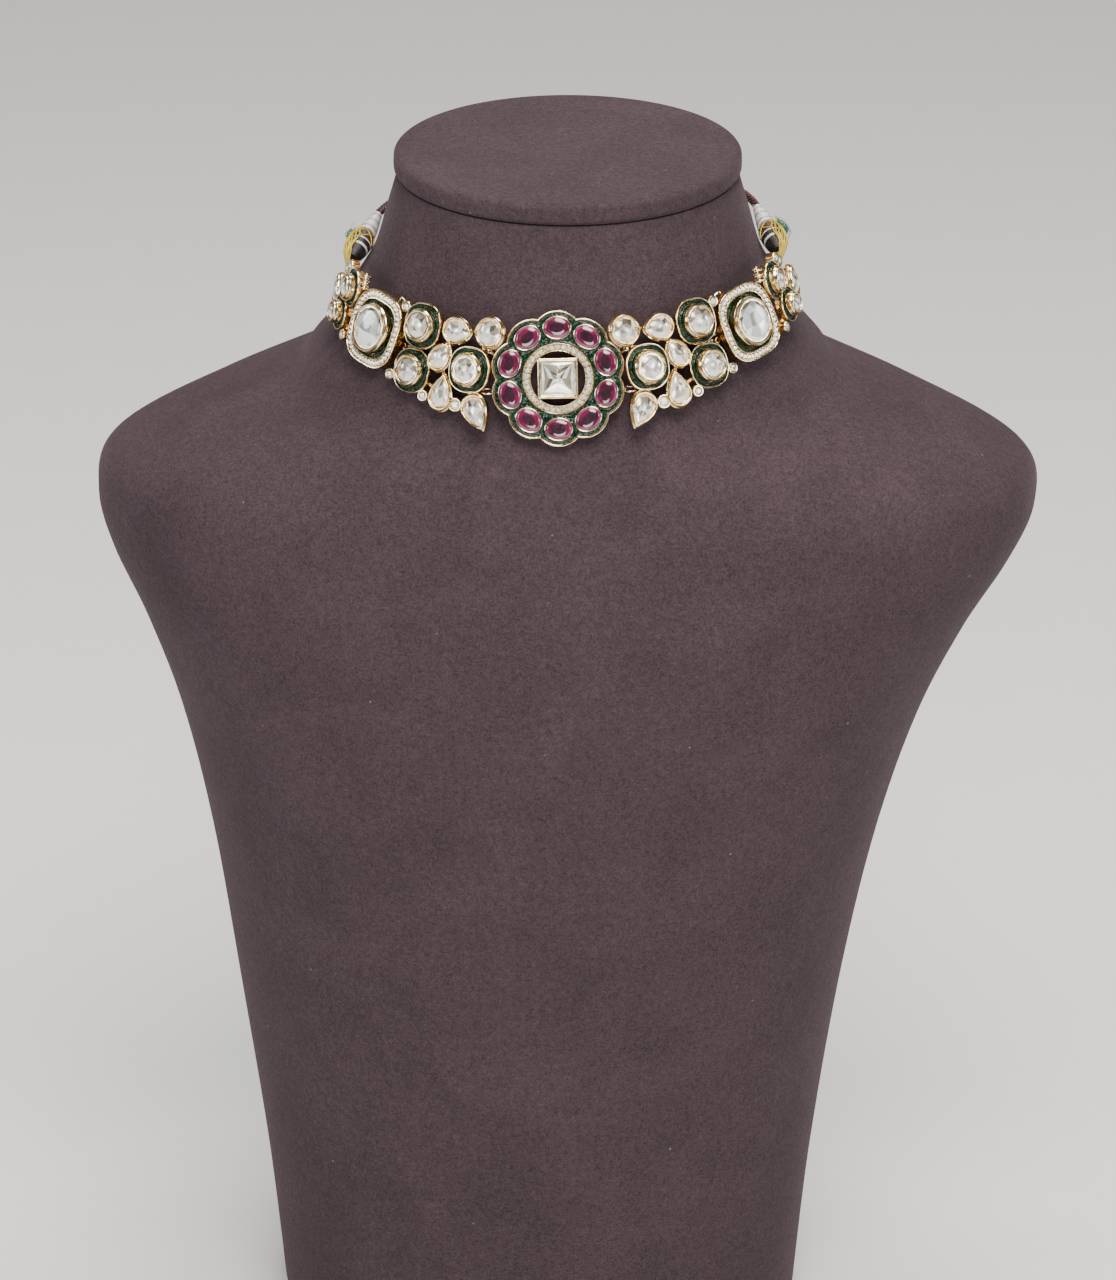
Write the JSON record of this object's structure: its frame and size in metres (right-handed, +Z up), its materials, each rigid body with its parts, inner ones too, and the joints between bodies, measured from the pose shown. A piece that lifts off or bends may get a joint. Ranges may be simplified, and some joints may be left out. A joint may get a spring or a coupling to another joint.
{
  "type": "kundan choker necklace on a neck bust",
  "caption": "Choker of joined gold panels set with clear and red stones over green enamel, tied with a cord round the neck of a plain velvet display bust.",
  "frame": {"origin": "on the underside of the bust's foot, below the axis of the neck", "axes": "+Z up along the neck, -Y forward out of the medallion, +X to the right of someone who looks at the medallion"},
  "size_m": [0.2562, 0.1454, 0.345],
  "materials": {
    "velvet": "short-nap matte velvet",
    "gold": "polished pale gold plating",
    "green_enamel": "glossy fired enamel",
    "kundan_stone": "foil-backed flat-cut stone",
    "pave_stone": "small bright-cut stone",
    "red_stone": "polished transparent red",
    "maroon_thread": "wound silk thread",
    "gold_zari": "metallic thread",
    "silver_zari": "metallic thread"
  },
  "bodies": {
    "root": {"bust_body": "velvet", "bust_cap": "velvet", "medallion_frame": "gold", "medallion_enamel": "green_enamel", "medallion_pave": "pave_stone", "medallion_stone": "kundan_stone", "ruby_01": "red_stone", "ruby_02": "red_stone", "ruby_03": "red_stone", "ruby_04": "red_stone", "ruby_05": "red_stone", "ruby_06": "red_stone", "ruby_07": "red_stone", "ruby_08": "red_stone", "ruby_09": "red_stone", "ruby_10": "red_stone", "wing_frame_l": "gold", "wing_enamel_l": "green_enamel", "wing_accents_l": "pave_stone", "plaque_frame_l": "gold", "plaque_enamel_l": "green_enamel", "plaque_pave_l": "pave_stone", "plaque_stone_l": "kundan_stone", "end_frame_l": "gold", "end_enamel_l": "green_enamel", "end_stones_l": "kundan_stone", "thread_ball_l": "maroon_thread", "zari_cone_l": "silver_zari", "wing_frame_r": "gold", "wing_enamel_r": "green_enamel", "wing_accents_r": "pave_stone", "plaque_frame_r": "gold", "plaque_enamel_r": "green_enamel", "plaque_pave_r": "pave_stone", "plaque_stone_r": "kundan_stone", "end_frame_r": "gold", "end_enamel_r": "green_enamel", "end_stones_r": "kundan_stone", "thread_ball_r": "maroon_thread", "zari_cone_r": "silver_zari", "kundan_l1": "kundan_stone", "kundan_l2": "kundan_stone", "kundan_l3": "kundan_stone", "kundan_l4": "kundan_stone", "kundan_l5": "kundan_stone", "kundan_l6": "kundan_stone", "kundan_l7": "kundan_stone", "kundan_l8": "kundan_stone", "kundan_r1": "kundan_stone", "kundan_r2": "kundan_stone", "kundan_r3": "kundan_stone", "kundan_r4": "kundan_stone", "kundan_r5": "kundan_stone", "kundan_r6": "kundan_stone", "kundan_r7": "kundan_stone", "kundan_r8": "kundan_stone", "link_rings": "gold", "dori_loops": "gold_zari", "dori_cord": "maroon_thread", "dori_slider": "maroon_thread"}
  },
  "joints": []
}
